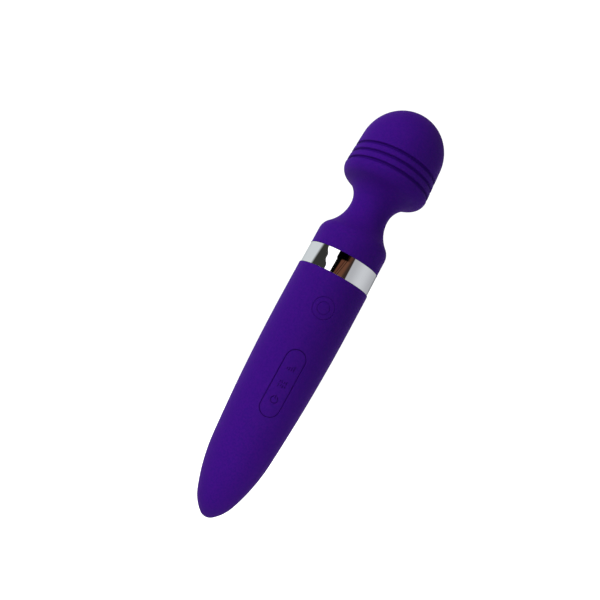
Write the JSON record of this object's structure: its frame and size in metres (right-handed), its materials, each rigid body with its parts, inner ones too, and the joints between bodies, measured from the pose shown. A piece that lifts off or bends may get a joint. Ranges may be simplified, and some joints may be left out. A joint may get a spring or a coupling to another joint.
{
  "type": "wand massager",
  "caption": "Handheld wand massager: silicone-covered handle with three push buttons, flexible neck and a round grooved head holding a motor with an eccentric weight.",
  "frame": {"origin": "the tip of the tail, on the wand's own axis", "axes": "+Z along the wand from tail to head, -Y out of the face with the buttons"},
  "size_m": [0.0474, 0.0474, 0.2341],
  "materials": {
    "silicone": "soft velvety purple silicone",
    "chrome": "polished plating",
    "black_rubber": "soft black rubber",
    "black_abs": "fine-grained moulded plastic",
    "white_nylon": "moulded nylon",
    "screw_steel": "zinc-plated steel",
    "shaft_steel": "ground steel",
    "board_green": "solder-masked glass-fibre board",
    "chip_black": "moulded resin",
    "led_clear": "clear resin",
    "cell_wrap": "shrink wrap",
    "nickel": "nickel strip",
    "copper": "enamelled copper",
    "bronze": "sintered bronze",
    "lead_red": "insulated lead",
    "grey_foam": "soft foam",
    "dense_alloy": "sintered heavy alloy"
  },
  "bodies": {
    "handle": {"handle_sleeve": "silicone", "shoulder_sleeve": "silicone", "plated_ring": "chrome", "ring_seals": "black_rubber", "handle_shell_front": "black_abs", "handle_shell_back": "black_abs", "shell_screws": "screw_steel", "circuit_board": "board_green", "board_parts": "chip_black", "tact_switches": "chip_black", "indicator_leds": "led_clear", "board_screws": "screw_steel", "lithium_cell": "cell_wrap", "cell_tabs": "nickel", "cell_cradle": "black_abs", "foam_pad": "grey_foam", "charge_jack": "white_nylon", "jack_contacts": "nickel", "charge_leads": "lead_red", "cell_leads": "lead_red", "neck_base": "black_abs"},
    "neck_link": {"neck_sleeve": "silicone", "neck_core": "black_rubber", "lead_guide": "black_abs", "motor_leads": "lead_red"},
    "head": {"head_sleeve": "silicone", "neck_cap": "black_abs", "head_cup": "black_abs", "head_dome": "black_abs", "motor_can": "shaft_steel", "motor_magnets": "chip_black", "motor_end_cap": "white_nylon", "motor_brushes": "copper", "motor_terminals": "nickel", "motor_bushing": "bronze", "motor_pad": "black_rubber", "motor_bracket": "black_abs", "bracket_screws": "screw_steel"},
    "rotor": {"motor_shaft": "shaft_steel", "armature": "shaft_steel", "armature_windings": "copper", "commutator": "copper", "eccentric_weight": "dense_alloy"},
    "level_button": {"level_pad": "silicone", "level_key": "white_nylon", "level_plunger": "chip_black"},
    "mode_button": {"mode_pad": "silicone", "mode_key": "white_nylon", "mode_plunger": "chip_black"},
    "power_button": {"power_pad": "silicone", "power_key": "white_nylon", "power_plunger": "chip_black"}
  },
  "joints": [
    {"name": "neck_nod", "type": "hinge", "parent": "handle", "child": "neck_link", "pos_m": [0, 0, 0.1715], "axis": [1, 0, 0], "range_deg": [-15, 15], "stiffness_Nm_per_rad": 2.6, "deforming": ["neck_sleeve", "neck_core", "motor_leads"]},
    {"name": "neck_sway", "type": "hinge", "parent": "neck_link", "child": "head", "pos_m": [0, 0, 0.1815], "axis": [0, 1, 0], "range_deg": [-15, 15], "stiffness_Nm_per_rad": 2.6, "deforming": ["neck_sleeve", "neck_core", "motor_leads"]},
    {"name": "motor_spin", "type": "hinge", "parent": "head", "child": "rotor", "pos_m": [0, 0, 0.205], "axis": [0, 0, 1], "continuous": true},
    {"name": "level_press", "type": "slide", "parent": "handle", "child": "level_button", "axis": [0, 1, 0], "range_m": [0, 0.0005], "stiffness_N_per_m": 600},
    {"name": "mode_press", "type": "slide", "parent": "handle", "child": "mode_button", "axis": [0, 1, 0], "range_m": [0, 0.0005], "stiffness_N_per_m": 600},
    {"name": "power_press", "type": "slide", "parent": "handle", "child": "power_button", "axis": [0, 1, 0], "range_m": [0, 0.0005], "stiffness_N_per_m": 600}
  ]
}
